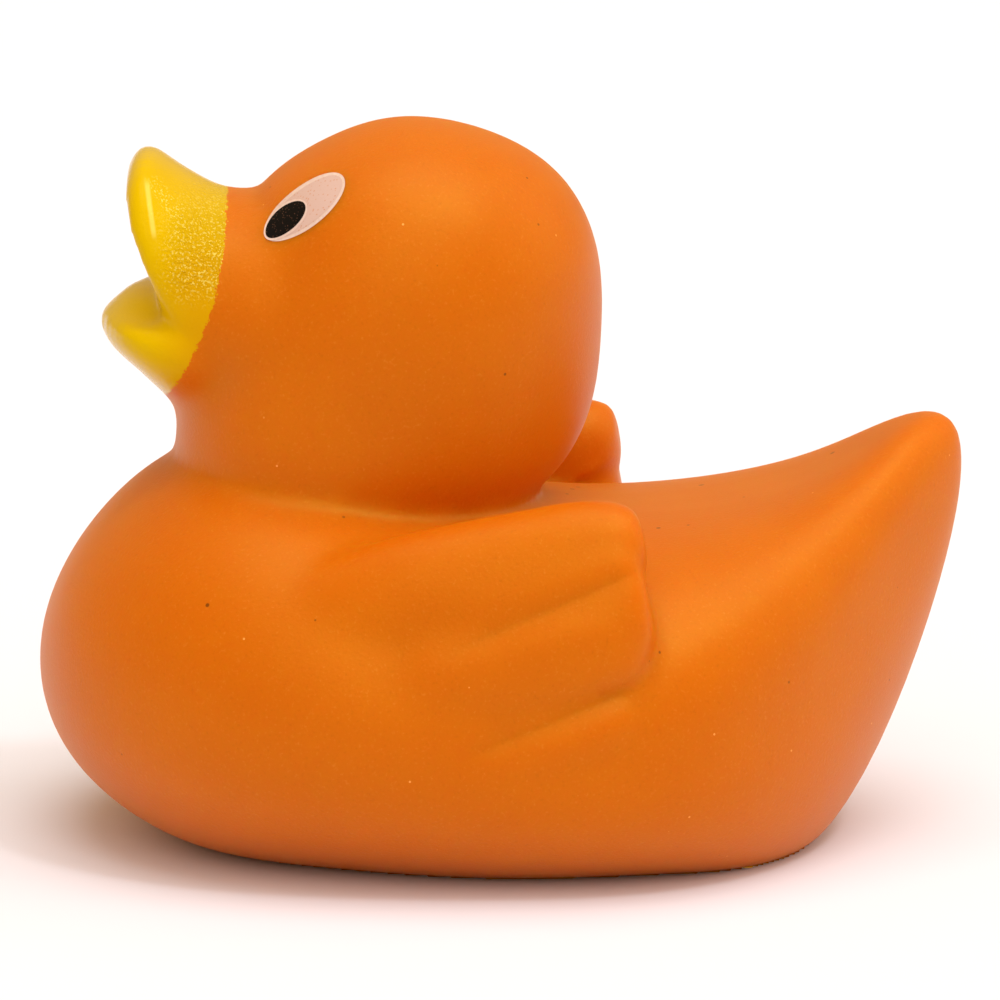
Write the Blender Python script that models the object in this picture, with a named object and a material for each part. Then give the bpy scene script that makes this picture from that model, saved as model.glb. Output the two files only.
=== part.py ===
"""Squeaking rubber duck: one hollow soft-vinyl moulding with a squeaker pressed into its flat base.

The duck faces -X, its left side is -Y, and it rests on z = 0. The origin is the middle of its
footprint box. All forms below are stated in millimetres and scaled to metres by MM.
"""
import math

import bmesh
import bpy
import numpy as np
from mathutils import Vector

MM = 0.001

# driving dimensions of the moulding, in millimetres
WALL = 2.2
BASE_EDGE = 1.2
HOLE_RADIUS = 7.0
RECESS_RADIUS = 9.5
RECESS_DEPTH = 1.5

# how finely the skin is drawn, how often it is smoothed and how many triangles it keeps
VOXEL = 0.55
HOLLOW_VOXEL = 1.1
BLEND = 6
OUTER_FACES = 6400
HOLLOW_FACES = 1500

# the squeaker, in millimetres; the gap is left between all touching pieces
GAP = 0.3
CUP_WALL = 1.3
CUP_ROOF = 1.0
CUP_TOP = 9.0
SOUND_HOLE = 1.2
AIR_CHANNEL = 1.5
HOLDER_TOP = 4.2
SEAT_RADIUS = 3.6
SEAT_HEIGHT = 0.4
REED_SIZE = (6.6, 3.4, 0.4)

# Each station of a form is a cross-section: the two ends of its rail line in the middle plane
# (x, z, x, z), its half width, where along the line it is widest (share from the second end),
# how square its two halves are (2 is an ellipse, more is squarer), and how deep each half is dished.
HULL = (
    (-42.5, 16.0, -42.5, 16.0, 0.0, 0.50, 2.0, 2.0, 0.0, 0.0),
    (-39.3, 26.2, -39.0, 6.8, 14.8, 0.45, 2.1, 2.1, 0.0, 0.0),
    (-29.5, 35.2, -28.9, 0.1, 25.6, 0.42, 2.1, 2.2, 0.0, 0.0),
    (-15.5, 35.8, -15.6, -1.9, 31.2, 0.44, 2.1, 2.3, 0.0, 0.0),
    (0.5, 31.4, 0.0, -2.6, 32.4, 0.46, 2.3, 2.4, 0.0, 0.0),
    (16.5, 30.6, 15.6, -2.4, 30.2, 0.48, 2.7, 2.5, 0.0, 0.0),
    (29.4, 33.8, 28.7, -0.8, 19.6, 0.50, 3.2, 2.4, 0.0, 0.0),
    (38.2, 38.4, 38.6, 16.6, 7.6, 0.56, 2.8, 2.2, 0.0, 0.0),
    (42.6, 34.6, 42.6, 34.6, 0.0, 0.50, 2.2, 2.0, 0.0, 0.0),
)
HEAD = (
    (-8.6, 66.1, -8.6, 66.1, 0.0, 0.5, 2.0, 2.0, 0.0, 0.0),
    (-15.8, 64.1, -0.4, 64.5, 8.4, 0.5, 2.0, 2.0, 0.0, 0.0),
    (-21.8, 59.9, 5.8, 60.4, 14.2, 0.5, 2.0, 2.0, 0.0, 0.0),
    (-25.4, 53.8, 8.9, 54.0, 17.3, 0.5, 2.05, 2.0, 0.0, 0.0),
    (-28.0, 46.8, 9.3, 46.6, 18.0, 0.5, 2.25, 2.0, 0.0, 0.0),
    (-29.6, 39.2, 8.2, 39.1, 17.3, 0.5, 2.45, 2.0, 0.0, 0.0),
    (-28.6, 33.0, 4.2, 32.6, 15.8, 0.5, 2.25, 2.0, 0.0, 0.0),
    (-21.0, 29.0, -3.0, 28.0, 9.5, 0.5, 2.0, 2.0, 0.0, 0.0),
    (-11.0, 27.0, -11.0, 27.0, 0.0, 0.5, 2.0, 2.0, 0.0, 0.0),
)
UPPER_BILL = (
    (-12.0, 50.0, -12.0, 50.0, 0.0, 0.3, 2.2, 2.4, 0.0, 0.0),
    (-17.5, 58.4, -18.0, 41.0, 13.8, 0.42, 2.1, 2.3, 0.0, 0.0),
    (-23.8, 59.5, -27.0, 42.0, 13.4, 0.40, 2.1, 2.3, 0.0, 0.0),
    (-27.4, 60.7, -30.7, 47.6, 12.7, 0.33, 2.1, 2.6, 0.0, 1.0),
    (-29.8, 62.2, -32.8, 53.0, 11.9, 0.26, 2.1, 3.0, 0.0, 3.0),
    (-32.0, 63.4, -34.2, 58.6, 8.8, 0.30, 2.2, 3.0, 0.0, 1.6),
    (-33.6, 62.2, -33.6, 62.2, 0.0, 0.5, 2.0, 2.0, 0.0, 0.0),
)
LOWER_BILL = (
    (-17.0, 45.5, -17.0, 45.5, 0.0, 0.6, 2.4, 2.2, 0.0, 0.0),
    (-21.5, 50.2, -21.5, 41.0, 10.0, 0.6, 2.6, 2.2, 0.0, 0.0),
    (-26.0, 50.6, -27.4, 39.4, 12.7, 0.62, 2.7, 2.1, 0.0, 0.0),
    (-29.6, 49.8, -30.8, 41.1, 12.5, 0.66, 2.7, 2.0, 0.4, 0.0),
    (-32.4, 49.6, -33.0, 43.4, 11.7, 0.66, 2.6, 2.0, 0.5, 0.0),
    (-34.9, 49.6, -35.1, 45.2, 8.7, 0.62, 2.4, 2.0, 0.2, 0.0),
    (-36.6, 47.8, -36.6, 47.8, 0.0, 0.5, 2.0, 2.0, 0.0, 0.0),
)
TONGUE = (
    (-22.0, 49.0, -22.0, 49.0, 0.0, 0.5, 2.0, 2.0, 0.0, 0.0),
    (-25.5, 51.6, -25.5, 46.0, 8.0, 0.5, 2.0, 2.0, 0.0, 0.0),
    (-30.2, 51.5, -30.2, 45.4, 8.8, 0.5, 2.2, 2.0, 0.0, 0.0),
    (-33.6, 50.8, -33.6, 46.0, 6.6, 0.5, 2.2, 2.0, 0.0, 0.0),
    (-35.2, 48.8, -35.2, 48.8, 0.0, 0.5, 2.0, 2.0, 0.0, 0.0),
)


def closed_spline(values):
    """Smooth closed curve through the values at t = 0, 1, 2 ..."""
    rows = np.array(values, float)
    count = len(rows)
    matrix = np.zeros((count, count))
    right = np.zeros(rows.shape)
    for i in range(count):
        matrix[i, i] = 4.0
        matrix[i, (i - 1) % count] = 1.0
        matrix[i, (i + 1) % count] = 1.0
        right[i] = 3.0 * (rows[(i + 1) % count] - rows[i - 1])
    slopes = np.linalg.solve(matrix, right)

    def at(t):
        i = int(math.floor(t)) % count
        s = t - math.floor(t)
        j = (i + 1) % count
        near = (1 + 2 * s) * (1 - s) ** 2 * rows[i] + s * (1 - s) ** 2 * slopes[i]
        return near + s * s * (3 - 2 * s) * rows[j] + s * s * (s - 1) * slopes[j]

    return at


def face_outwards(bm):
    """Turns all faces of a closed form outwards."""
    bmesh.ops.recalc_face_normals(bm, faces=bm.faces)
    if bm.calc_volume(signed=True) < 0.0:
        bmesh.ops.reverse_faces(bm, faces=bm.faces)
    bm.normal_update()


def loft(stations, segments=72, rings=56):
    """A closed form through the stations, made from a sphere whose rings become the sections."""
    last = len(stations) - 1
    back = stations[-2:0:-1]
    rail = closed_spline([s[0:2] for s in stations] + [s[2:4] for s in back])
    width = closed_spline([s[4] for s in stations] + [-s[4] for s in back])
    shape = closed_spline([s[5:] for s in stations] + [s[5:] for s in back])
    bm = bmesh.new()
    bmesh.ops.create_uvsphere(bm, u_segments=segments, v_segments=rings, radius=1.0)
    for vert in bm.verts:
        polar = math.acos(max(-1.0, min(1.0, vert.co.z)))
        around = math.atan2(vert.co.y, vert.co.x)
        t = last * polar / math.pi
        first, second = rail(t), rail(2 * last - t)
        share, square_first, square_second, dish_first, dish_second = shape(t)
        middle = second + (first - second) * share
        cosine, sine = math.cos(around), math.sin(around)
        power = 2.0 / (square_first if cosine >= 0 else square_second)
        reach = (first if cosine >= 0 else second) - middle
        dish = max(0.0, dish_first if cosine >= 0 else dish_second) * cosine * cosine
        along = reach * (abs(cosine) ** power - dish / max(0.01, np.linalg.norm(reach)))
        side = max(0.0, float(width(t))) * abs(sine) ** power
        vert.co = Vector((middle[0] + along[0], math.copysign(side, sine), middle[1] + along[1])) * MM
    face_outwards(bm)
    return bm


def pad(nose, tail, height, tail_height, depth, blunt, flat, lean, side):
    """A feather: a long flat-backed pad from nose to tail, blunter at its tail, on the flank."""
    nose, tail = Vector(nose), Vector(tail)
    axis = tail - nose
    long = axis.normalized()
    out = Vector((0.0, -math.cos(math.radians(lean)), math.sin(math.radians(lean))))
    up = out.cross(long).normalized()
    if up.z < 0.0:
        up = -up
    bm = bmesh.new()
    bmesh.ops.create_uvsphere(bm, u_segments=48, v_segments=32, radius=1.0)
    for vert in bm.verts:
        s = max(-1.0, min(1.0, vert.co.z))
        ring = Vector((vert.co.x, vert.co.y))
        if ring.length > 1e-9:
            ring.normalize()
        if s > 0.0:
            radius = (1.0 - s ** blunt) ** (1.0 / blunt)
        else:
            radius = 1.0 - (-s) ** 1.7
        rise = math.copysign(abs(ring.x) ** flat, ring.x) * radius
        rise *= height + (tail_height - height) * (s + 1.0) / 2.0
        stand = math.copysign(abs(ring.y) ** flat, ring.y) * radius * depth
        point = (nose + tail) / 2.0 + axis * (s / 2.0) + up * rise + out * stand
        vert.co = Vector((point.x, point.y * -side, point.z)) * MM
    face_outwards(bm)
    return bm


# nose, tail, half height at each, half depth, bluntness, flatness (1 is round) and lean of the left
# wing's three feathers and of the web that joins them
FEATHERS = (
    ((-27.0, -23.4, 21.8), (12.1, -26.0, 32.0), 6.8, 4.9, 4.6, 4.4, 0.95, 27.0),
    ((-21.0, -26.4, 13.6), (11.9, -29.3, 24.8), 5.8, 5.6, 4.0, 3.6, 0.80, 0.0),
    ((-17.0, -28.2, 8.4), (11.4, -30.2, 17.4), 5.0, 3.4, 3.2, 3.0, 0.80, 0.0),
    ((-16.0, -25.0, 21.6), (12.3, -27.6, 27.6), 7.0, 7.0, 4.6, 6.0, 0.85, 12.0),
)

# the grooves between the feathers: front end and rear end (x, z), depth and half width at the rear
GROOVES = (
    ((-5.5, 22.8), (12.2, 30.6), 0.75, 1.5),
    ((-3.2, 14.2), (11.2, 19.9), 0.85, 1.5),
)


def mesh_object(name, bm):
    mesh = bpy.data.meshes.new(name)
    bm.to_mesh(mesh)
    bm.free()
    ob = bpy.data.objects.new(name, mesh)
    bpy.context.scene.collection.objects.link(ob)
    return ob


def merged(parts):
    """One bmesh holding all the given ones."""
    whole = bmesh.new()
    for part in parts:
        mesh = bpy.data.meshes.new("joined")
        part.to_mesh(mesh)
        part.free()
        whole.from_mesh(mesh)
        bpy.data.meshes.remove(mesh)
    return whole


def evaluated(ob):
    """The object's mesh with its modifiers applied, as a new bmesh."""
    graph = bpy.context.evaluated_depsgraph_get()
    graph.update()
    bm = bmesh.new()
    bm.from_mesh(ob.evaluated_get(graph).to_mesh())
    return bm


def level(bm, height):
    """Cuts the form flat at a height and closes it there."""
    everything = bm.verts[:] + bm.edges[:] + bm.faces[:]
    cut = bmesh.ops.bisect_plane(
        bm, geom=everything, plane_co=(0.0, 0.0, height), plane_no=(0.0, 0.0, -1.0), clear_outer=True
    )
    rim = [e for e in cut["geom_cut"] if isinstance(e, bmesh.types.BMEdge)]
    bmesh.ops.edgeloop_fill(bm, edges=rim)


def near(point, centre, reach):
    """1 at the centre, fading to 0 at the reach from it (one reach for each axis)."""
    far = math.sqrt(sum(((point[i] / MM - centre[i]) / reach[i]) ** 2 for i in range(3)))
    return max(0.0, min(1.0, 2.0 - 2.0 * far))


def seam_softness(point):
    """How much a place is blended: fully round the neck and the bill's root, less along the wings."""
    x, y, z = point
    neck = near((0.0, 0.0, z), (0.0, 0.0, 33.5), (1.0, 1.0, 7.0))
    if x > 0.002:
        neck *= max(0.0, 1.0 - (x / MM - 2.0) / 3.0)
    neck *= 0.6
    root = near((x, abs(y), z), (-21.5, 13.0, 51.0), (7.5, 9.0, 13.0))
    root = max(root, near((x, abs(y), z), (-28.0, 6.0, 40.0), (6.0, 14.0, 6.0)))
    shoulder = near((x, abs(y), z), (-15.0, 29.0, 22.0), (14.0, 9.0, 15.0))
    feathers = 0.12 * near((x, abs(y), z), (3.0, 31.0, 20.0), (16.0, 9.0, 18.0))
    mouth = 0.3 * near((x, abs(y), z), (-32.0, 5.0, 48.0), (8.0, 9.0, 5.5))
    return max(neck, root, shoulder, feathers, mouth)


def blended(bm, iterations):
    """The form smoothed, all of it a little and its seams more."""
    ob = mesh_object("blend", bm)
    group = ob.vertex_groups.new(name="seams")
    for vert in ob.data.vertices:
        weight = seam_softness(vert.co)
        if weight > 0.0:
            group.add([vert.index], weight, "REPLACE")
    whole = ob.modifiers.new("Whole", "SMOOTH")
    whole.factor = 0.5
    whole.iterations = iterations
    seams = ob.modifiers.new("Seams", "SMOOTH")
    seams.factor = 0.5
    seams.iterations = 10 * iterations
    seams.vertex_group = "seams"
    result = evaluated(ob)
    bpy.data.objects.remove(ob)
    return result


def skinned(forms, voxel):
    """One even skin over all the overlapping forms."""
    ob = mesh_object("skin", merged(forms))
    remesh = ob.modifiers.new("Union", "REMESH")
    remesh.mode = "VOXEL"
    remesh.voxel_size = voxel
    bm = evaluated(ob)
    bpy.data.objects.remove(ob)
    return bm


def grooved(bm):
    """Sinks the grooves between the feathers into both wings, from nothing in front to full depth."""
    for vert in bm.verts:
        place = Vector((vert.co.x, vert.co.z)) / MM
        if abs(vert.co.y) < 20.0 * MM:
            continue
        for front, rear, depth, width in GROOVES:
            line = Vector(rear) - Vector(front)
            along = (place - Vector(front)).dot(line) / line.length_squared
            if 0.0 < along < 1.0:
                away = (place - Vector(front) - line * along).length
                sink = depth * min(1.0, 2.2 * along, 6.0 * (1.0 - along)) * math.exp(-away / width)
                vert.co.y -= math.copysign(sink * MM, vert.co.y)


def round_base(bm):
    """Turns the edge of the flat base in with a small radius."""
    bm.normal_update()
    radius = BASE_EDGE * MM
    for vert in bm.verts:
        if 0.0 <= vert.co.z < radius:
            rise = 1.0 - vert.co.z / radius
            inward = radius * 0.5 * (1.0 - math.sqrt(1.0 - rise * rise))
            out = Vector((vert.normal.x, vert.normal.y, 0.0))
            if out.length > 0.0001:
                vert.co -= out.normalized() * inward


def outer_form(voxel, turns):
    forms = [loft(rows) for rows in (HULL, HEAD, UPPER_BILL, LOWER_BILL, TONGUE)]
    for side in (-1.0, 1.0):
        for feather in FEATHERS:
            forms.append(pad(*feather, -side))
    bm = blended(skinned(forms, voxel), turns)
    grooved(bm)
    round_base(bm)
    level(bm, 0.0)
    return bm


def hollow_form():
    """The space inside: the hull and the head drawn in by the wall, flat above the base."""
    forms = []
    for rows in (HULL, HEAD):
        form = loft(rows, 48, 36)
        moves = [vert.normal.copy() for vert in form.verts]
        for vert, normal in zip(form.verts, moves):
            vert.co -= normal * WALL * MM
        forms.append(form)
    bm = skinned(forms, HOLLOW_VOXEL * MM)
    level(bm, WALL * MM)
    return bm


def thinned(bm, faces):
    """The form with about this many triangles."""
    bmesh.ops.triangulate(bm, faces=bm.faces)
    ratio = faces / len(bm.faces)
    ob = mesh_object("thin", bm)
    decimate = ob.modifiers.new("Thin", "DECIMATE")
    decimate.ratio = ratio
    decimate.use_collapse_triangulate = True
    result = evaluated(ob)
    bpy.data.objects.remove(ob)
    return result


def turned(profile, segments=40):
    """A closed solid turned about Z from (radius, height) points that run round its section."""
    bm = bmesh.new()
    ring = [bm.verts.new((radius * MM, 0.0, height * MM)) for radius, height in profile]
    edges = [bm.edges.new((ring[i], ring[(i + 1) % len(ring)])) for i in range(len(ring))]
    bmesh.ops.spin(
        bm, geom=ring + edges, cent=(0.0, 0.0, 0.0), axis=(0.0, 0.0, 1.0),
        angle=2.0 * math.pi, steps=segments, use_merge=False
    )
    bmesh.ops.remove_doubles(bm, verts=bm.verts, dist=0.00001)
    face_outwards(bm)
    return bm


def cylinder(radius, low, high, segments=48):
    bm = bmesh.new()
    bmesh.ops.create_cone(
        bm, cap_ends=True, segments=segments, radius1=radius * MM, radius2=radius * MM,
        depth=(high - low) * MM
    )
    bmesh.ops.translate(bm, verts=bm.verts, vec=(0.0, 0.0, (low + high) / 2 * MM))
    return bm


def cut_away(ob, name, bm):
    """Subtracts a form from the object and leaves the form as a hidden guide."""
    cutter = mesh_object(name, bm)
    cutter.hide_render = True
    cutter.display_type = "WIRE"
    boolean = ob.modifiers.new(name, "BOOLEAN")
    boolean.operation = "DIFFERENCE"
    boolean.solver = "EXACT"
    boolean.object = cutter


def finish(ob, name, colour, roughness):
    material = bpy.data.materials.new(name)
    material.use_nodes = True
    shader = material.node_tree.nodes["Principled BSDF"]
    shader.inputs["Base Color"].default_value = (*colour, 1.0)
    shader.inputs["Roughness"].default_value = roughness
    shader.inputs["Metallic"].default_value = 0.0
    ob.data.materials.append(material)
    ob.data.shade_smooth()
    ob.data.set_sharp_from_angle(angle=math.radians(40.0))


def squeaker():
    """A cup with a flange in the base hole, the plug that closes it and the reed over its channel."""
    barrel = HOLE_RADIUS - GAP
    inside = barrel - CUP_WALL
    flange = RECESS_RADIUS - GAP
    step = RECESS_DEPTH - GAP
    cup = mesh_object("squeaker_housing", turned((
        (inside, GAP), (flange, GAP), (flange, step), (barrel, step), (barrel, CUP_TOP),
        (SOUND_HOLE, CUP_TOP), (SOUND_HOLE, CUP_TOP - CUP_ROOF), (inside, CUP_TOP - CUP_ROOF),
    )))
    finish(cup, "white plastic", (0.86, 0.86, 0.84), 0.4)
    foot = 2.0 * GAP
    seat = HOLDER_TOP + SEAT_HEIGHT
    plug = mesh_object("reed_holder", turned((
        (AIR_CHANNEL, foot), (inside - GAP, foot), (inside - GAP, HOLDER_TOP),
        (SEAT_RADIUS, HOLDER_TOP), (SEAT_RADIUS, seat), (AIR_CHANNEL, seat),
    )))
    finish(plug, "clear plastic", (0.72, 0.76, 0.78), 0.3)
    long, wide, thick = REED_SIZE
    bm = bmesh.new()
    bmesh.ops.create_cube(bm, size=1.0)
    bmesh.ops.scale(bm, vec=(long * MM, wide * MM, thick * MM), verts=bm.verts)
    height = (seat + GAP + thick / 2.0) * MM
    bmesh.ops.translate(bm, vec=(0.0, 0.0, height), verts=bm.verts)
    finish(mesh_object("reed", bm), "reed film", (0.8, 0.8, 0.78), 0.35)


def main():
    for ob in list(bpy.data.objects):
        bpy.data.objects.remove(ob)
    body = mesh_object("body", thinned(outer_form(VOXEL * MM, BLEND), OUTER_FACES))
    finish(body, "orange vinyl", (0.62, 0.131, 0.001), 0.42)
    cut_away(body, "hollow_cut", thinned(hollow_form(), HOLLOW_FACES))
    cut_away(body, "hole_cut", cylinder(HOLE_RADIUS, -2.0, WALL + 2.0))
    cut_away(body, "recess_cut", cylinder(RECESS_RADIUS, -2.0, RECESS_DEPTH))
    squeaker()


if __name__ == "__main__":
    main()
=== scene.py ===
"""Looks of the squeaking rubber duck: satin orange vinyl, gloss yellow bill paint and printed eyes."""
import math

import bmesh
import bpy
import numpy as np
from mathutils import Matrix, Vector
from mathutils.bvhtree import BVHTree


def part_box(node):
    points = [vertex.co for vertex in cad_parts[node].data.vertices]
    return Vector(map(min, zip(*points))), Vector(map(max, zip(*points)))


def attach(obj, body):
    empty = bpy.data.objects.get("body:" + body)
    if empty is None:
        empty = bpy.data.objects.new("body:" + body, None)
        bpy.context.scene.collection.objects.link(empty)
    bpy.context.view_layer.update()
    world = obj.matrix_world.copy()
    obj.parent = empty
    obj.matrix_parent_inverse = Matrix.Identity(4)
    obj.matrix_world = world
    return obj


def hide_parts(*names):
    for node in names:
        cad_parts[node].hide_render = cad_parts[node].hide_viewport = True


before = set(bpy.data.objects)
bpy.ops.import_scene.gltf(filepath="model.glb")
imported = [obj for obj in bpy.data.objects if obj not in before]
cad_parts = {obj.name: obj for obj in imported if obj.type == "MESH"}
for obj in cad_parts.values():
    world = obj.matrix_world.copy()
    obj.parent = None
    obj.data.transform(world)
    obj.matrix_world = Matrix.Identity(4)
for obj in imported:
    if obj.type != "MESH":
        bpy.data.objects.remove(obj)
LOW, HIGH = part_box("body")
_, CUP_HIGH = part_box("squeaker_housing")
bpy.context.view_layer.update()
LENGTH = 85.0
MM = (HIGH.x - LOW.x) / LENGTH

bl_info = {
    "name": "Rubber Duck Looks",
    "version": (1, 0, 0),
    "blender": (4, 5, 0),
    "location": "View3D > Sidebar > Duck",
    "description": "Models the soft vinyl moulding of a squeaking duck and finishes its surfaces",
    "category": "Object",
}

# Lengths are in millimetres and angles in degrees. Each station of a form is a cross-section: the two
# ends of its line in the middle plane (x, z, x, z), its half width, where along the line it is widest
# (share from the second end), how square its two halves are (2 is an ellipse, more is squarer), and
# how deep each half is dished.
HULL = (
    (-42.5, 16.0, -42.5, 16.0, 0.0, 0.50, 2.0, 2.0, 0.0, 0.0),
    (-39.3, 26.2, -39.0, 6.8, 14.8, 0.45, 2.1, 2.1, 0.0, 0.0),
    (-29.5, 35.2, -28.9, 0.1, 25.6, 0.42, 2.1, 2.2, 0.0, 0.0),
    (-15.5, 35.8, -15.6, -1.9, 31.2, 0.44, 2.1, 2.3, 0.0, 0.0),
    (0.5, 31.4, 0.0, -2.6, 32.4, 0.46, 2.3, 2.4, 0.0, 0.0),
    (16.5, 30.6, 15.6, -2.4, 30.2, 0.48, 2.7, 2.5, 0.0, 0.0),
    (29.4, 33.8, 28.7, -0.8, 19.6, 0.50, 3.2, 2.4, 0.0, 0.0),
    (38.2, 38.4, 38.6, 16.6, 7.6, 0.56, 2.8, 2.2, 0.0, 0.0),
    (42.6, 34.6, 42.6, 34.6, 0.0, 0.50, 2.2, 2.0, 0.0, 0.0),
)
HEAD = (
    (-8.6, 66.1, -8.6, 66.1, 0.0, 0.5, 2.0, 2.0, 0.0, 0.0),
    (-15.8, 64.1, -0.4, 64.5, 8.4, 0.5, 2.0, 2.0, 0.0, 0.0),
    (-21.8, 59.9, 5.8, 60.4, 14.2, 0.5, 2.0, 2.0, 0.0, 0.0),
    (-25.4, 53.8, 8.9, 54.0, 17.3, 0.5, 2.05, 2.0, 0.0, 0.0),
    (-28.0, 46.8, 9.3, 46.6, 18.0, 0.5, 2.25, 2.0, 0.0, 0.0),
    (-29.6, 39.2, 8.2, 39.1, 17.3, 0.5, 2.45, 2.0, 0.0, 0.0),
    (-28.6, 33.0, 4.2, 32.6, 15.8, 0.5, 2.25, 2.0, 0.0, 0.0),
    (-21.0, 29.0, -3.0, 28.0, 9.5, 0.5, 2.0, 2.0, 0.0, 0.0),
    (-11.0, 27.0, -11.0, 27.0, 0.0, 0.5, 2.0, 2.0, 0.0, 0.0),
)
UPPER_BILL = (
    (-12.0, 50.0, -12.0, 50.0, 0.0, 0.3, 2.2, 2.4, 0.0, 0.0),
    (-17.5, 58.4, -18.0, 41.0, 13.8, 0.42, 2.1, 2.3, 0.0, 0.0),
    (-23.8, 59.5, -27.0, 42.0, 13.4, 0.40, 2.1, 2.3, 0.0, 0.0),
    (-27.4, 60.7, -30.7, 47.6, 12.7, 0.33, 2.1, 2.6, 0.0, 1.0),
    (-29.8, 62.2, -32.8, 53.0, 11.9, 0.26, 2.1, 3.0, 0.0, 3.0),
    (-32.0, 63.4, -34.2, 58.6, 8.8, 0.30, 2.2, 3.0, 0.0, 1.6),
    (-33.6, 62.2, -33.6, 62.2, 0.0, 0.5, 2.0, 2.0, 0.0, 0.0),
)
LOWER_BILL = (
    (-17.0, 45.5, -17.0, 45.5, 0.0, 0.6, 2.4, 2.2, 0.0, 0.0),
    (-21.5, 50.2, -21.5, 41.0, 10.0, 0.6, 2.6, 2.2, 0.0, 0.0),
    (-26.0, 50.6, -27.4, 39.4, 12.7, 0.62, 2.7, 2.1, 0.0, 0.0),
    (-29.6, 49.8, -30.8, 41.1, 12.5, 0.66, 2.7, 2.0, 0.4, 0.0),
    (-32.4, 49.6, -33.0, 43.4, 11.7, 0.66, 2.6, 2.0, 0.5, 0.0),
    (-34.9, 49.6, -35.1, 45.2, 8.7, 0.62, 2.4, 2.0, 0.2, 0.0),
    (-36.6, 47.8, -36.6, 47.8, 0.0, 0.5, 2.0, 2.0, 0.0, 0.0),
)
TONGUE = (
    (-22.0, 49.0, -22.0, 49.0, 0.0, 0.5, 2.0, 2.0, 0.0, 0.0),
    (-25.5, 51.6, -25.5, 46.0, 8.0, 0.5, 2.0, 2.0, 0.0, 0.0),
    (-30.2, 51.5, -30.2, 45.4, 8.8, 0.5, 2.2, 2.0, 0.0, 0.0),
    (-33.6, 50.8, -33.6, 46.0, 6.6, 0.5, 2.2, 2.0, 0.0, 0.0),
    (-35.2, 48.8, -35.2, 48.8, 0.0, 0.5, 2.0, 2.0, 0.0, 0.0),
)

# nose, tail, half height at each, half depth, bluntness, flatness (1 is round) and lean of the left
# wing's three feathers and of the web that joins them
FEATHERS = (
    ((-27.0, -23.4, 21.8), (12.1, -26.0, 32.0), 6.8, 4.9, 4.6, 4.4, 0.95, 27.0),
    ((-21.0, -26.4, 13.6), (11.9, -29.3, 24.8), 5.8, 5.6, 4.0, 3.6, 0.80, 0.0),
    ((-17.0, -28.2, 8.4), (11.4, -30.2, 17.4), 5.0, 3.4, 3.2, 3.0, 0.80, 0.0),
    ((-16.0, -25.0, 21.6), (12.3, -27.6, 27.6), 7.0, 7.0, 4.6, 6.0, 0.85, 12.0),
)

# the grooves between the feathers: front end and rear end (x, z), depth and half width at the rear
GROOVES = (
    ((-6.8, 22.2), (12.3, 30.6), 0.75, 1.4),
    ((-4.6, 13.6), (11.3, 19.9), 0.80, 1.4),
)

# the skin's smoother places, alike on both sides: centre, reach along each axis and share of the
# full smoothing
SEAMS = (
    ((-21.5, 13.0, 51.0), (7.5, 9.0, 13.0), 1.0),
    ((-28.0, 6.0, 40.0), (6.0, 14.0, 6.0), 1.0),
    ((-15.0, 29.0, 22.0), (14.0, 9.0, 15.0), 1.0),
    ((3.0, 31.0, 20.0), (16.0, 9.0, 18.0), 0.12),
    ((-32.0, 5.0, 48.0), (8.0, 9.0, 5.5), 0.3),
)

# the neck's seam: its height, its reach up and down, its share, and where it fades out on the back
NECK_HEIGHT = 33.5
NECK_REACH = 7.0
NECK_SHARE = 0.6
NECK_FADE = (2.0, 5.0)

# middle (x, z), length, width and tilt from level of the printed white and of the pupil
EYE_WHITE = (-17.7, 59.35, 8.8, 3.1, 37.5)
EYE_PUPIL = (-19.4, 58.2, 4.5, 1.8, 40.0)

# the larger specks of dust and the pieces of a hair: middle and radius
DUST = (
    ((-26.4, -23.8, 25.9), 0.24),
    ((18.9, 5.8, 30.8), 0.32),
    ((14.1, -10.6, 30.0), 0.26),
    ((14.4, -10.4, 30.4), 0.18),
    ((16.8, -10.5, 30.3), 0.18),
    ((13.3, -28.8, 22.5), 0.20),
    ((6.3, 3.2, 30.5), 0.22),
    ((6.9, 6.5, 30.4), 0.30),
    ((7.5, 8.3, 30.2), 0.28),
    ((30.8, 2.2, 34.5), 0.30),
    ((2.3, -7.5, 61.6), 0.16),
    ((0.1, -15.3, 45.0), 0.16),
)

# the paint's edge on top of the bill, the height below which it sweeps forward and how fast, its
# foot, and the top of the painted highlight line that stands for the gloss on the bill
PAINT_EDGE = -24.8
PAINT_BEND = 58.5
PAINT_SWEEP = 0.020
PAINT_FOOT = 36.0
HIGHLIGHT_TOP = 61.6

# how far each printed film stands off the skin, and how far its edge is past the eye's outline
FILM_LIFT = {"rim": 0.03, "white": 0.05, "pupil_rim": 0.07, "pupil": 0.09}
FILM_GROW = {"rim": 0.0, "white": -0.5, "pupil_rim": 0.35, "pupil": 0.0}
FILM_CELLS = 26

# the moulding's wall, the radius of its base edge, and its hole and recess for the squeaker
WALL = 2.2
BASE_EDGE = 1.2
HOLE_RADIUS = 7.0
RECESS_DEPTH = 1.5
CUP_GAP = 0.3
CUT_LOW = -2.0
CUT_HIGH = 4.0

HOLLOW_VOXEL = 1.2
WING_START = 20.0
EYE_RAY_START = 60.0
SHARP_ANGLE = 50.0

# which way each light shines and how wide it is
LIGHTS = {
    "key": ((0.05, 0.85, -0.70), 50.0),
    "top": ((-0.05, 0.10, -1.0), 50.0),
    "side": ((-0.75, 0.05, -0.60), 60.0),
    "spark": ((-0.35, 0.35, -0.87), 8.0),
}
FLOOR_REACH = 3.0
AIM_HEIGHT = 30.6
SENSOR = 36.0


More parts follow.
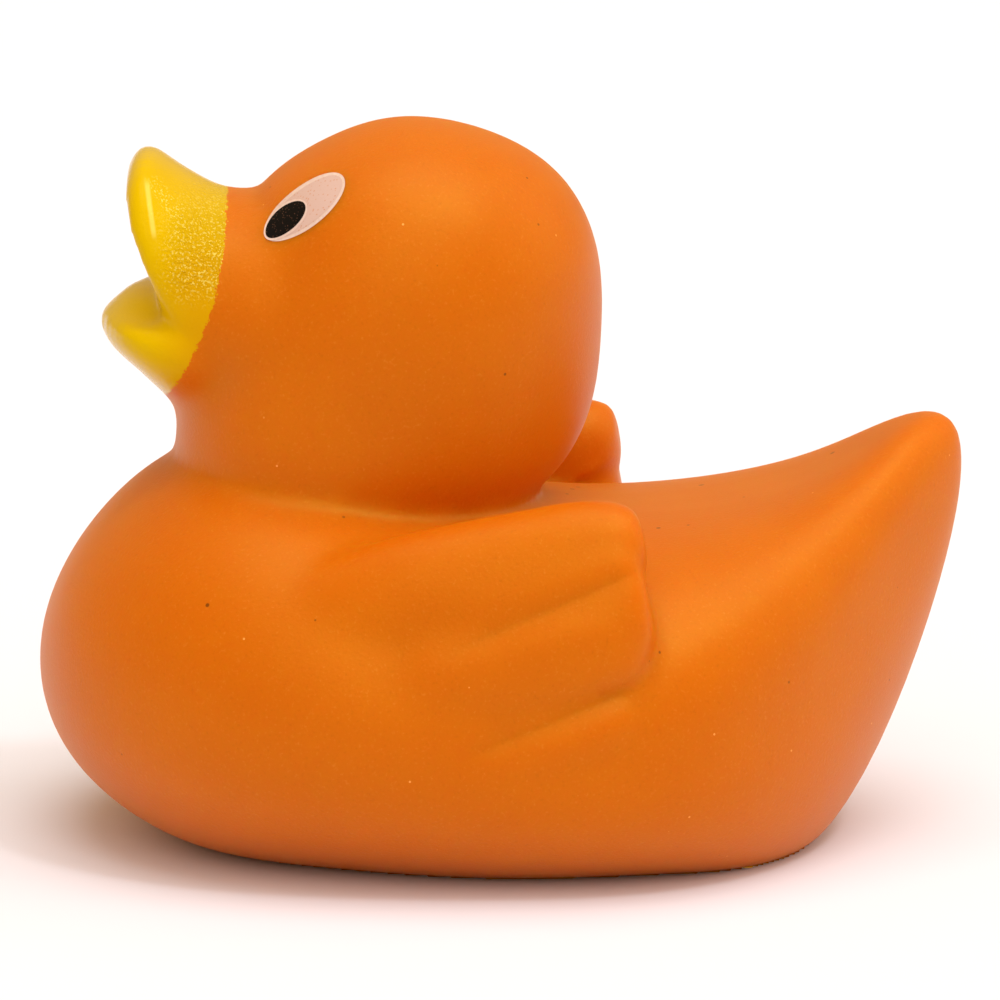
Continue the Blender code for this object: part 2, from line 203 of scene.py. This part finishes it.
def closed_spline(values):
    """Smooth closed curve through the values at t = 0, 1, 2 ..."""
    rows = np.array(values, float)
    count = len(rows)
    matrix = np.zeros((count, count))
    right = np.zeros(rows.shape)
    for i in range(count):
        matrix[i, i] = 4.0
        matrix[i, (i - 1) % count] = 1.0
        matrix[i, (i + 1) % count] = 1.0
        right[i] = 3.0 * (rows[(i + 1) % count] - rows[i - 1])
    slopes = np.linalg.solve(matrix, right)

    def at(t):
        i = int(math.floor(t)) % count
        s = t - math.floor(t)
        j = (i + 1) % count
        near = (1 + 2 * s) * (1 - s) ** 2 * rows[i] + s * (1 - s) ** 2 * slopes[i]
        return near + s * s * (3 - 2 * s) * rows[j] + s * s * (s - 1) * slopes[j]

    return at


def face_outwards(bm):
    """Turns all faces of a closed form outwards."""
    bmesh.ops.recalc_face_normals(bm, faces=bm.faces)
    if bm.calc_volume(signed=True) < 0.0:
        bmesh.ops.reverse_faces(bm, faces=bm.faces)
    bm.normal_update()


def loft(stations, segments=72, rings=56):
    """A closed form through the stations, made from a sphere whose rings become the sections."""
    last = len(stations) - 1
    back = stations[-2:0:-1]
    rail = closed_spline([s[0:2] for s in stations] + [s[2:4] for s in back])
    width = closed_spline([s[4] for s in stations] + [-s[4] for s in back])
    shape = closed_spline([s[5:] for s in stations] + [s[5:] for s in back])
    bm = bmesh.new()
    bmesh.ops.create_uvsphere(bm, u_segments=segments, v_segments=rings, radius=1.0)
    for vert in bm.verts:
        polar = math.acos(max(-1.0, min(1.0, vert.co.z)))
        around = math.atan2(vert.co.y, vert.co.x)
        t = last * polar / math.pi
        first, second = rail(t), rail(2 * last - t)
        share, square_first, square_second, dish_first, dish_second = shape(t)
        middle = second + (first - second) * share
        cosine, sine = math.cos(around), math.sin(around)
        power = 2.0 / (square_first if cosine >= 0 else square_second)
        reach = (first if cosine >= 0 else second) - middle
        dish = max(0.0, dish_first if cosine >= 0 else dish_second) * cosine * cosine
        along = reach * (abs(cosine) ** power - dish / max(0.01, np.linalg.norm(reach)))
        side = max(0.0, float(width(t))) * abs(sine) ** power
        vert.co = Vector((middle[0] + along[0], math.copysign(side, sine), middle[1] + along[1])) * MM
    face_outwards(bm)
    return bm


def pad(nose, tail, height, tail_height, depth, blunt, flat, lean, side):
    """A feather: a long flat-backed pad from nose to tail, blunter at its tail, on the flank."""
    nose, tail = Vector(nose), Vector(tail)
    axis = tail - nose
    long = axis.normalized()
    out = Vector((0.0, -math.cos(math.radians(lean)), math.sin(math.radians(lean))))
    up = out.cross(long).normalized()
    if up.z < 0.0:
        up = -up
    bm = bmesh.new()
    bmesh.ops.create_uvsphere(bm, u_segments=48, v_segments=32, radius=1.0)
    for vert in bm.verts:
        s = max(-1.0, min(1.0, vert.co.z))
        ring = Vector((vert.co.x, vert.co.y))
        if ring.length > 1e-9:
            ring.normalize()
        if s > 0.0:
            radius = (1.0 - s ** blunt) ** (1.0 / blunt)
        else:
            radius = 1.0 - (-s) ** 1.7
        rise = math.copysign(abs(ring.x) ** flat, ring.x) * radius
        rise *= height + (tail_height - height) * (s + 1.0) / 2.0
        stand = math.copysign(abs(ring.y) ** flat, ring.y) * radius * depth
        point = (nose + tail) / 2.0 + axis * (s / 2.0) + up * rise + out * stand
        vert.co = Vector((point.x, point.y * -side, point.z)) * MM
    face_outwards(bm)
    return bm


def mesh_object(name, bm):
    """A new object of that name holding the form, which is used up."""
    mesh = bpy.data.meshes.new(name)
    bm.to_mesh(mesh)
    bm.free()
    ob = bpy.data.objects.new(name, mesh)
    bpy.context.scene.collection.objects.link(ob)
    return ob


def merged(parts):
    """One bmesh holding all the given ones."""
    whole = bmesh.new()
    for part in parts:
        mesh = bpy.data.meshes.new("joined")
        part.to_mesh(mesh)
        part.free()
        whole.from_mesh(mesh)
        bpy.data.meshes.remove(mesh)
    return whole


def evaluated(ob):
    """The object's mesh with its modifiers applied, as a new bmesh."""
    graph = bpy.context.evaluated_depsgraph_get()
    graph.update()
    bm = bmesh.new()
    bm.from_mesh(ob.evaluated_get(graph).to_mesh())
    return bm


def level(bm, height):
    """Cuts the form flat at a height and closes it there."""
    everything = bm.verts[:] + bm.edges[:] + bm.faces[:]
    cut = bmesh.ops.bisect_plane(
        bm, geom=everything, plane_co=(0.0, 0.0, height), plane_no=(0.0, 0.0, -1.0), clear_outer=True
    )
    rim = [e for e in cut["geom_cut"] if isinstance(e, bmesh.types.BMEdge)]
    bmesh.ops.edgeloop_fill(bm, edges=rim)


def near(point, centre, reach):
    """1 at the centre, fading to 0 at the reach from it (one reach for each axis)."""
    far = math.sqrt(sum(((point[i] / MM - centre[i]) / reach[i]) ** 2 for i in range(3)))
    return max(0.0, min(1.0, 2.0 - 2.0 * far))


def seam_softness(point):
    """How much a place is smoothed, from 0 to 1: the most at the bill's root and the shoulders."""
    x, y, z = point
    start, end = NECK_FADE
    neck = NECK_SHARE * near((0.0, 0.0, z), (0.0, 0.0, NECK_HEIGHT), (1.0, 1.0, NECK_REACH))
    neck *= max(0.0, min(1.0, (end - x / MM) / (end - start)))
    place = (x, abs(y), z)
    return max(neck, *(share * near(place, centre, reach) for centre, reach, share in SEAMS))


def blended(bm, iterations):
    """The form smoothed, all of it a little and its seams more."""
    ob = mesh_object("blend", bm)
    group = ob.vertex_groups.new(name="seams")
    for vert in ob.data.vertices:
        weight = seam_softness(vert.co)
        if weight > 0.0:
            group.add([vert.index], weight, "REPLACE")
    whole = ob.modifiers.new("Whole", "SMOOTH")
    whole.factor = 0.5
    whole.iterations = iterations
    seams = ob.modifiers.new("Seams", "SMOOTH")
    seams.factor = 0.5
    seams.iterations = 10 * iterations
    seams.vertex_group = "seams"
    result = evaluated(ob)
    bpy.data.objects.remove(ob)
    return result


def skinned(forms, voxel):
    """One even skin over all the overlapping forms."""
    ob = mesh_object("skin", merged(forms))
    remesh = ob.modifiers.new("Union", "REMESH")
    remesh.mode = "VOXEL"
    remesh.voxel_size = voxel
    bm = evaluated(ob)
    bpy.data.objects.remove(ob)
    return bm


def grooved(bm):
    """Sinks the grooves between the feathers into both wings, from nothing in front to full depth."""
    for vert in bm.verts:
        place = Vector((vert.co.x, vert.co.z)) / MM
        if abs(vert.co.y) < WING_START * MM:
            continue
        for front, rear, depth, width in GROOVES:
            line = Vector(rear) - Vector(front)
            along = (place - Vector(front)).dot(line) / line.length_squared
            if 0.0 < along < 1.0:
                away = (place - Vector(front) - line * along).length
                sink = depth * min(1.0, 3.5 * along, 6.0 * (1.0 - along)) * math.exp(-away / width)
                vert.co.y -= math.copysign(sink * MM, vert.co.y)


def round_base(bm):
    """Turns the edge of the flat base in with a small radius."""
    bm.normal_update()
    radius = BASE_EDGE * MM
    for vert in bm.verts:
        if 0.0 <= vert.co.z < radius:
            rise = 1.0 - vert.co.z / radius
            inward = radius * 0.5 * (1.0 - math.sqrt(1.0 - rise * rise))
            out = Vector((vert.normal.x, vert.normal.y, 0.0))
            if out.length > 0.0001:
                vert.co -= out.normalized() * inward


def outer_form(voxel, turns):
    """The outside of the moulding: all forms in one blended skin, grooved and flat below."""
    forms = [loft(rows) for rows in (HULL, HEAD, UPPER_BILL, LOWER_BILL, TONGUE)]
    for side in (-1.0, 1.0):
        for feather in FEATHERS:
            forms.append(pad(*feather, -side))
    bm = blended(skinned(forms, voxel), turns)
    grooved(bm)
    round_base(bm)
    level(bm, 0.0)
    return bm


def hollow_form():
    """The space inside: the hull and the head drawn in by the wall, flat above the base."""
    forms = []
    for rows in (HULL, HEAD):
        form = loft(rows, 48, 36)
        moves = [vert.normal.copy() for vert in form.verts]
        for vert, normal in zip(form.verts, moves):
            vert.co -= normal * WALL * MM
        forms.append(form)
    bm = skinned(forms, HOLLOW_VOXEL * MM)
    level(bm, WALL * MM)
    return bm


def cylinder(radius, low, high):
    """An upright cylinder about the middle, between two heights."""
    bm = bmesh.new()
    bmesh.ops.create_cone(
        bm, cap_ends=True, segments=96, radius1=radius, radius2=radius, depth=high - low
    )
    bmesh.ops.translate(bm, verts=bm.verts, vec=(0.0, 0.0, (low + high) / 2))
    return bm


def without(bm, cuts):
    """The form less the given ones, as a new mesh object."""
    ob = mesh_object("whole", bm)
    guides = []
    for cut in cuts:
        guide = mesh_object("guide", cut)
        guides.append(guide)
        boolean = ob.modifiers.new("Cut", "BOOLEAN")
        boolean.operation = "DIFFERENCE"
        boolean.solver = "EXACT"
        boolean.object = guide
    result = evaluated(ob)
    for extra in [ob, *guides]:
        bpy.data.objects.remove(extra)
    return result


class Value:
    """A shader socket that can be added, multiplied and so on with others and with numbers."""

    def __init__(self, shader, socket):
        self.shader = shader
        self.socket = socket

    def math(self, operation, *values):
        """The result of a math node that takes exactly the values given."""
        node = self.shader.node("ShaderNodeMath", {"operation": operation}, dict(enumerate(values)))
        return Value(self.shader, node.outputs[0])

    def __add__(self, other):
        return self.math("ADD", self, other)

    def __radd__(self, other):
        return self.math("ADD", other, self)

    def __sub__(self, other):
        return self.math("SUBTRACT", self, other)

    def __rsub__(self, other):
        return self.math("SUBTRACT", other, self)

    def __mul__(self, other):
        return self.math("MULTIPLY", self, other)

    def __rmul__(self, other):
        return self.math("MULTIPLY", other, self)

    def __abs__(self):
        return self.math("ABSOLUTE", self)

    def most(self, other):
        return self.math("MAXIMUM", self, other)

    def square(self):
        return self.math("MULTIPLY", self, self)

    def over(self, low, high):
        """0 below low, 1 above high, and smooth in between."""
        settings = {"interpolation_type": "SMOOTHSTEP"}
        node = self.shader.node("ShaderNodeMapRange", settings, {0: self, 1: low, 2: high})
        return Value(self.shader, node.outputs[0])

    def under(self, low, high):
        return 1.0 - self.over(low, high)


class Shader:
    """One material and the nodes in it."""

    def __init__(self, name):
        self.material = bpy.data.materials.new(name)
        self.material.use_nodes = True
        self.tree = self.material.node_tree
        self.tree.nodes.clear()
        self.place = self.node("ShaderNodeTexCoord").outputs["Object"]

    def node(self, kind, settings=None, sockets=None):
        """A node of the kind, with its settings first and then its sockets' values or links."""
        node = self.tree.nodes.new(kind)
        for key, setting in (settings or {}).items():
            setattr(node, key, setting)
        for key, value in (sockets or {}).items():
            socket = node.inputs[key]
            if isinstance(value, Value):
                value = value.socket
            if isinstance(value, bpy.types.NodeSocket):
                self.tree.links.new(value, socket)
            else:
                socket.default_value = value
        return node

    def axes(self):
        """The place's x, y and z in millimetres."""
        split = self.node("ShaderNodeSeparateXYZ", None, {0: self.place})
        return [Value(self, out) * (1.0 / MM) for out in split.outputs]

    def noise(self, per_mm, detail=2.0, roughness=0.5):
        """Noise of so many blobs a millimetre, from 0 to 1 about 0.5."""
        node = self.node(
            "ShaderNodeTexNoise", None,
            {"Vector": self.place, "Scale": per_mm / MM, "Detail": detail, "Roughness": roughness},
        )
        return Value(self, node.outputs[0])

    def specks(self, per_mm, size):
        """1 in one small spot a cell, so many cells a millimetre, and each cell's chance from 0 to 1."""
        node = self.node("ShaderNodeTexVoronoi", None, {"Vector": self.place, "Scale": per_mm / MM})
        return Value(self, node.outputs["Distance"]).under(size * 0.6, size), Value(
            self, node.outputs["Color"]
        )

    def spot(self, centre, radius):
        """1 in a small round spot at the centre, both in millimetres."""
        middle = tuple(c * MM for c in centre)
        node = self.node("ShaderNodeVectorMath", {"operation": "DISTANCE"}, {0: self.place, 1: middle})
        return Value(self, node.outputs["Value"]).under(0.6 * radius * MM, radius * MM)

    def mix(self, share, first, second):
        """A colour between the two."""
        node = self.node(
            "ShaderNodeMix", {"data_type": "RGBA", "clamp_factor": True},
            {0: share, 6: first, 7: second},
        )
        return node.outputs[2]

    def bump(self, height, reach, strength=1.0):
        """A normal bumped by the height, whose full range stands that far out."""
        sockets = {"Height": height, "Distance": reach, "Strength": strength}
        return self.node("ShaderNodeBump", None, sockets).outputs[0]

    def principled(self, sockets):
        return self.node("ShaderNodeBsdfPrincipled", None, sockets).outputs[0]

    def finish(self, surface):
        self.node("ShaderNodeOutputMaterial", None, {0: surface})
        return self.material


def rgb(colour):
    return (colour[0], colour[1], colour[2], 1.0)


def vinyl_tone(s, colours, z, grain):
    """The vinyl's orange: soft clouds, painted shade that makes it darker and redder towards the base,
    fine grain, pale specks and dust.
    """
    cloud = s.noise(0.09, 3.0)
    tone = s.mix(cloud.over(0.35, 0.68), rgb(colours.vinyl_deep), rgb(colours.vinyl))
    # painted shade: the vinyl is mixed towards a darker, redder copy low on the body, near the base
    tone = s.mix(z.under(2.0, 26.0) * 0.35, tone, rgb(colours.foot_painted_shade))
    tone = s.mix(0.10 * grain.over(0.55, 0.75), tone, rgb(colours.speck_light))
    tone = s.mix(0.12 * grain.under(0.25, 0.45), tone, rgb(colours.speck_dark))
    pale, chance = s.specks(0.35, 0.045)
    tone = s.mix(0.7 * pale * chance.over(0.60, 0.62), tone, rgb(colours.speck_light))
    dark, chance = s.specks(0.30, 0.05)
    tone = s.mix(0.7 * dark * chance.over(0.66, 0.68), tone, rgb(colours.speck_dark))
    for place, size in DUST:
        tone = s.mix(0.85 * s.spot(place, size), tone, rgb(colours.speck_dark))
    return tone


def paint_tone(s, colours, x, z, cheek):
    """The bill's yellow, with painted shade low on the cheek, painted glints as bright flecks on its
    rough patch and ridge, and a painted highlight line.
    """
    # painted shade: a darker, more orange copy of the paint low on the bill's cheek, where it faces away
    # from the overhead light
    deeper = x.over(-33.0, -26.5) * z.under(52.0, 60.0) * (0.7 + 0.3 * s.noise(0.25))
    tone = s.mix(deeper, rgb(colours.paint), rgb(colours.bill_painted_shade))
    fall = HIGHLIGHT_TOP - z
    # painted highlight along the bill's ridge, where the gloss would catch the light
    ridge_highlight = abs(x + 31.4 - 0.74 * fall).under(0.3, 1.0) * z.over(56.0, 57.0) * z.under(61.2, 62.0)
    # painted highlight: a thin line of gloss painted into the colour
    line = abs(x + 31.9 - 0.16 * fall).under(0.10, 0.30) * z.over(56.5, 57.5) * z.under(61.0, 61.8)
    # painted glints: bright flecks on the rough patch and the ridge stand in for light glinting off the
    # paint
    painted_glints = cheek.most(ridge_highlight) * s.noise(4.4, 2.0, 0.6).over(0.55, 0.63)
    return s.mix((0.65 * painted_glints).most(0.5 * line), tone, rgb(colours.bill_painted_glint))


def painted(s, x, z):
    """1 on the paint and 0 on the vinyl, with the ragged edge that a spray mask leaves."""
    edge = PAINT_EDGE - PAINT_SWEEP * (PAINT_BEND - z).most(0.0).square()
    ragged = 0.7 * (s.noise(1.8, 3.0) - 0.5) + 0.7 * (s.noise(6.0, 2.0) - 0.5)
    mask = (x - edge + ragged).under(-0.06, 0.06)
    return mask * z.over(PAINT_FOOT, PAINT_FOOT + 0.5)


def vinyl_and_paint(colours):
    """Satin orange vinyl, with gloss yellow paint in front of the bill's ragged masked edge."""
    s = Shader("orange vinyl with a painted bill")
    x, _, z = s.axes()
    grain = s.noise(3.2, 4.0, 0.6)
    vinyl = s.principled({
        "Base Color": vinyl_tone(s, colours, z, grain),
        "Roughness": 0.40 + 0.06 * grain,
        "Specular IOR Level": 0.42,
        "Specular Tint": rgb(colours.sheen),
        "Subsurface Weight": 0.8,
        "Subsurface Radius": (1.0, 0.35, 0.08),
        "Subsurface Scale": 4.0 * MM,
        "Normal": s.bump(grain, 0.06 * MM, 0.6),
    })
    cheek = z.over(50.0, 54.0) * z.under(57.0, 62.0) * x.over(-31.5, -28.5)
    peel = s.noise(3.2, 3.0, 0.6) * (0.12 + 0.88 * cheek)
    paint = s.principled({
        "Base Color": paint_tone(s, colours, x, z, cheek),
        "Roughness": 0.08 + 0.10 * s.noise(1.1),
        "Specular IOR Level": 0.12,
        "Specular Tint": rgb(colours.gloss),
        "Normal": s.bump(peel, 0.35 * MM),
    })
    mixed = s.node("ShaderNodeMixShader", None, {0: painted(s, x, z), 1: vinyl, 2: paint})
    return s.finish(mixed.outputs[0])


def printed_white(colours):
    """The eye's pinkish white ink, with fine darker specks."""
    s = Shader("printed eye white")
    dots, _ = s.specks(2.8, 0.30)
    tone = s.mix(dots * 0.8, rgb(colours.eye_white), rgb(colours.eye_speck))
    return s.finish(s.principled({
        "Base Color": tone,
        "Roughness": 0.42 + 0.1 * s.noise(3.0),
        "IOR": 1.45,
        "Normal": s.bump(s.noise(4.0, 3.0), 0.05 * MM, 0.5),
    }))


def printed_rim(colours):
    """The lighter ink round the white and the pupil."""
    s = Shader("printed eye rim")
    return s.finish(s.principled({
        "Base Color": s.mix(s.noise(3.0), rgb(colours.eye_white), rgb(colours.eye_rim)),
        "Roughness": 0.42,
        "IOR": 1.45,
    }))


def printed_black(colours):
    """The pupil's black ink, with a few brown specks."""
    s = Shader("printed pupil")
    dots, _ = s.specks(4.0, 0.2)
    return s.finish(s.principled({
        "Base Color": s.mix(dots * 0.35, rgb(colours.pupil), rgb(colours.eye_speck)),
        "Roughness": 0.4 + 0.1 * s.noise(3.0),
        "Specular IOR Level": 0.05,
    }))


def moulded_plastic(name, colour, rough):
    """Plain moulded plastic with faint clouds and a fine texture."""
    s = Shader(name)
    cloud = s.noise(0.5, 3.0)
    darker = tuple(0.93 * c for c in colour)
    return s.finish(s.principled({
        "Base Color": s.mix(cloud.over(0.35, 0.7), rgb(darker), rgb(colour)),
        "Roughness": rough + 0.08 * s.noise(2.5),
        "IOR": 1.48,
        "Normal": s.bump(s.noise(5.0, 3.0), 0.04 * MM, 0.5),
    }))


def printed_patch(name, skin, outline, grow, side, lift):
    """A thin printed film on the head: an ellipse seen from the side, laid on the skin."""
    middle_x, middle_z, long, wide, tilt = outline
    bm = bmesh.new()
    bmesh.ops.create_grid(bm, x_segments=FILM_CELLS, y_segments=FILM_CELLS, size=1.0)
    turn = math.radians(tilt)
    for vert in bm.verts:
        u = vert.co.x * math.sqrt(1.0 - vert.co.y ** 2 / 2.0) * (long + grow) / 2.0
        v = vert.co.y * math.sqrt(1.0 - vert.co.x ** 2 / 2.0) * (wide + grow) / 2.0
        x = middle_x + u * math.cos(turn) - v * math.sin(turn)
        z = middle_z + u * math.sin(turn) + v * math.cos(turn)
        start = Vector((x * MM, side * EYE_RAY_START * MM, z * MM))
        hit, normal, _, _ = skin.ray_cast(start, Vector((0.0, -side, 0.0)))
        if hit is None:
            raise RuntimeError(f"{name} misses the head")
        vert.co = hit + normal * lift * MM
    bm.normal_update()
    if sum(face.normal.y * side for face in bm.faces) < 0.0:
        bmesh.ops.reverse_faces(bm, faces=bm.faces)
    return mesh_object(name, bm)


class DuckForm(bpy.types.PropertyGroup):
    voxel: bpy.props.FloatProperty(
        name="Skin detail", description="Size of the cells that the skin is drawn over",
        default=0.00052, min=0.0003, unit="LENGTH",
    )
    blend: bpy.props.IntProperty(
        name="Blending", description="How often the skin is smoothed", default=8, min=1
    )


class DuckColours(bpy.types.PropertyGroup):
    vinyl: bpy.props.FloatVectorProperty(
        name="Vinyl", description="Colour of the vinyl", subtype="COLOR", default=(0.61, 0.136, 0.0006)
    )
    vinyl_deep: bpy.props.FloatVectorProperty(
        name="Vinyl, deeper", description="Deeper clouds in the vinyl", subtype="COLOR",
        default=(0.59, 0.125, 0.0006),
    )
    # painted shade: a darker, redder copy of the vinyl, used low on the body
    foot_painted_shade: bpy.props.FloatVectorProperty(
        name="Vinyl, low", description="Colour near the base", subtype="COLOR",
        default=(0.60, 0.108, 0.003),
    )
    sheen: bpy.props.FloatVectorProperty(
        name="Vinyl sheen", description="Colour of the light the vinyl throws back", subtype="COLOR",
        default=(0.75, 1.0, 0.15),
    )
    gloss: bpy.props.FloatVectorProperty(
        name="Paint gloss", description="Colour of the light the paint throws back", subtype="COLOR",
        default=(1.0, 0.92, 0.18),
    )
    paint: bpy.props.FloatVectorProperty(
        name="Bill paint", description="Colour of the bill", subtype="COLOR",
        default=(0.66, 0.43, 0.0006),
    )
    # painted shade: a darker, more orange copy of the paint, used low on the bill's cheek
    bill_painted_shade: bpy.props.FloatVectorProperty(
        name="Bill paint, deeper", description="Deeper clouds in the paint", subtype="COLOR",
        default=(0.59, 0.29, 0.0006),
    )
    # painted glints: the flecks stand in for light glinting off the paint's orange-peel skin
    bill_painted_glint: bpy.props.FloatVectorProperty(
        name="Bill flecks", description="Bright flecks in the paint's orange-peel skin", subtype="COLOR",
        default=(0.86, 0.74, 0.16),
    )
    speck_dark: bpy.props.FloatVectorProperty(
        name="Dark specks", description="Dust and hairs caught in the vinyl", subtype="COLOR",
        default=(0.16, 0.022, 0.001),
    )
    speck_light: bpy.props.FloatVectorProperty(
        name="Light specks", description="Pale specks in the vinyl", subtype="COLOR",
        default=(0.92, 0.48, 0.12),
    )
    eye_white: bpy.props.FloatVectorProperty(
        name="Eye white", description="Colour of the printed white", subtype="COLOR",
        default=(0.60, 0.41, 0.37),
    )
    eye_rim: bpy.props.FloatVectorProperty(
        name="Eye rim", description="Lighter rim of the printed white", subtype="COLOR",
        default=(0.78, 0.62, 0.56),
    )
    eye_speck: bpy.props.FloatVectorProperty(
        name="Eye specks", description="Specks in the print", subtype="COLOR",
        default=(0.55, 0.26, 0.16),
    )
    pupil: bpy.props.FloatVectorProperty(
        name="Pupil", description="Colour of the pupil", subtype="COLOR",
        default=(0.005, 0.004, 0.004),
    )
    cup: bpy.props.FloatVectorProperty(
        name="Squeaker", description="Colour of the squeaker's plastic", subtype="COLOR",
        default=(0.82, 0.82, 0.79),
    )


class DuckStage(bpy.types.PropertyGroup):
    distance: bpy.props.FloatProperty(
        name="Camera distance", description="From the camera to the duck", default=0.55, unit="LENGTH"
    )
    bearing: bpy.props.FloatProperty(
        name="Bearing", description="Camera's turn round the duck", subtype="ANGLE",
        default=math.radians(-1.3),
    )
    height: bpy.props.FloatProperty(
        name="Height", description="Camera's angle above the floor", subtype="ANGLE",
        default=math.radians(11.0),
    )
    width: bpy.props.FloatProperty(
        name="View width", description="Width of the view at the duck", default=0.0922, unit="LENGTH"
    )
    fill: bpy.props.FloatProperty(
        name="Fill light", description="Even light from all round", default=0.65, min=0.0
    )
    surround: bpy.props.FloatVectorProperty(
        name="Surround", description="Colour of the even light", subtype="COLOR",
        default=(1.0, 0.74, 0.40),
    )
    key: bpy.props.FloatProperty(
        name="Key light", description="Soft light from above the camera", default=0.88, min=0.0
    )
    spark: bpy.props.FloatProperty(
        name="Spark light", description="Small light that glints on the paint", default=0.45, min=0.0
    )
    top: bpy.props.FloatProperty(
        name="Top light", description="Soft light from overhead", default=1.32, min=0.0
    )
    side: bpy.props.FloatProperty(
        name="Side light", description="Soft light from the tail's side", default=0.55, min=0.0
    )
    floor: bpy.props.FloatVectorProperty(
        name="Floor", description="Colour of the floor", subtype="COLOR", default=(0.80, 0.82, 0.95)
    )


class DUCK_OT_moulding(bpy.types.Operator):
    """Model the vinyl moulding: hull, head, bill and wings in one skin, hollow, with its base hole"""

    bl_idname = "duck.moulding"
    bl_label = "Vinyl moulding"

    def execute(self, context):
        form = context.scene.duck_form
        bm = without(outer_form(form.voxel, form.blend), [
            hollow_form(),
            cylinder(HOLE_RADIUS * MM, CUT_LOW * MM, CUT_HIGH * MM),
            cylinder(CUP_HIGH.x + CUP_GAP * MM, CUT_LOW * MM, RECESS_DEPTH * MM),
        ])
        ob = mesh_object("duck_moulding", bm)
        ob.data.materials.append(vinyl_and_paint(context.scene.duck_colours))
        ob.data.shade_smooth()
        ob.data.set_sharp_from_angle(angle=math.radians(SHARP_ANGLE))
        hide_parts("body")
        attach(ob, "root")
        return {"FINISHED"}


class DUCK_OT_eyes(bpy.types.Operator):
    """Lay the printed eyes on both sides of the head: rim, white and pupil"""

    bl_idname = "duck.eyes"
    bl_label = "Printed eyes"

    def execute(self, context):
        colours = context.scene.duck_colours
        moulding = bpy.data.objects.get("duck_moulding")
        if moulding is None:
            raise RuntimeError("the moulding comes before the eyes")
        bm = bmesh.new()
        bm.from_mesh(moulding.data)
        skin = BVHTree.FromBMesh(bm)
        bm.free()
        inks = {
            "rim": (printed_rim(colours), EYE_WHITE),
            "white": (printed_white(colours), EYE_WHITE),
            "pupil_rim": (printed_rim(colours), EYE_PUPIL),
            "pupil": (printed_black(colours), EYE_PUPIL),
        }
        for hand, side in (("left", -1.0), ("right", 1.0)):
            for part, (ink, outline) in inks.items():
                ob = printed_patch(
                    f"eye_{part}_{hand}", skin, outline, FILM_GROW[part], side, FILM_LIFT[part]
                )
                ob.data.materials.append(ink)
                ob.data.shade_smooth()
                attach(ob, "root")
        return {"FINISHED"}


class DUCK_OT_squeaker(bpy.types.Operator):
    """Finish the squeaker's cup, plug and reed"""

    bl_idname = "duck.squeaker"
    bl_label = "Squeaker"

    def execute(self, context):
        cup = context.scene.duck_colours.cup
        for node, rough in (("squeaker_housing", 0.42), ("reed_holder", 0.34), ("reed", 0.22)):
            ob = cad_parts[node]
            ob.data.materials.clear()
            ob.data.materials.append(moulded_plastic(f"{node} plastic", cup, rough))
        return {"FINISHED"}


class DUCK_OT_stage(bpy.types.Operator):
    """Set the floor, the soft lights and the camera"""

    bl_idname = "duck.stage"
    bl_label = "Stage"

    def execute(self, context):
        stage = context.scene.duck_stage
        bm = bmesh.new()
        bmesh.ops.create_grid(bm, x_segments=1, y_segments=1, size=FLOOR_REACH)
        floor = mesh_object("floor", bm)
        s = Shader("floor")
        floor.data.materials.append(s.finish(s.principled({
            "Base Color": rgb(stage.floor), "Roughness": 0.9,
        })))
        world = bpy.data.worlds.new("studio")
        world.use_nodes = True
        world.node_tree.nodes["Background"].inputs[0].default_value = rgb(stage.surround)
        world.node_tree.nodes["Background"].inputs[1].default_value = stage.fill
        context.scene.world = world
        for name, (heading, width) in LIGHTS.items():
            light = bpy.data.lights.new(name, "SUN")
            light.angle = math.radians(width)
            light.energy = getattr(stage, name)
            lamp = bpy.data.objects.new(name, light)
            lamp.rotation_euler = Vector(heading).to_track_quat("-Z", "Y").to_euler()
            context.scene.collection.objects.link(lamp)
        camera = bpy.data.objects.new("camera", bpy.data.cameras.new("camera"))
        aim = Vector((0.0, 0.0, AIM_HEIGHT * MM))
        back = Vector((
            math.sin(stage.bearing) * math.cos(stage.height),
            -math.cos(stage.bearing) * math.cos(stage.height),
            math.sin(stage.height),
        ))
        camera.location = aim + back * stage.distance
        camera.rotation_euler = (-back).to_track_quat("-Z", "Y").to_euler()
        camera.data.sensor_width = SENSOR
        camera.data.lens = SENSOR * stage.distance / stage.width
        camera.data.clip_start = 0.01
        context.scene.collection.objects.link(camera)
        context.scene.camera = camera
        context.scene.view_settings.view_transform = "Standard"
        return {"FINISHED"}


class DUCK_PT_panel(bpy.types.Panel):
    bl_label = "Rubber duck"
    bl_idname = "DUCK_PT_panel"
    bl_space_type = "VIEW_3D"
    bl_region_type = "UI"
    bl_category = "Duck"

    def draw(self, context):
        layout = self.layout
        for group in (context.scene.duck_form, context.scene.duck_colours, context.scene.duck_stage):
            box = layout.box()
            for name in group.__annotations__:
                box.prop(group, name)
        for operator in OPERATORS:
            layout.operator(operator.bl_idname)


GROUPS = (DuckForm, DuckColours, DuckStage)
OPERATORS = (DUCK_OT_moulding, DUCK_OT_eyes, DUCK_OT_squeaker, DUCK_OT_stage)


def register():
    for cls in (*GROUPS, *OPERATORS, DUCK_PT_panel):
        bpy.utils.register_class(cls)
    bpy.types.Scene.duck_form = bpy.props.PointerProperty(type=DuckForm)
    bpy.types.Scene.duck_colours = bpy.props.PointerProperty(type=DuckColours)
    bpy.types.Scene.duck_stage = bpy.props.PointerProperty(type=DuckStage)


def unregister():
    del bpy.types.Scene.duck_stage
    del bpy.types.Scene.duck_colours
    del bpy.types.Scene.duck_form
    for cls in reversed((*GROUPS, *OPERATORS, DUCK_PT_panel)):
        bpy.utils.unregister_class(cls)


def main():
    register()
    bpy.ops.duck.moulding()
    bpy.ops.duck.eyes()
    bpy.ops.duck.squeaker()
    bpy.ops.duck.stage()


if __name__ == "__main__":
    main()
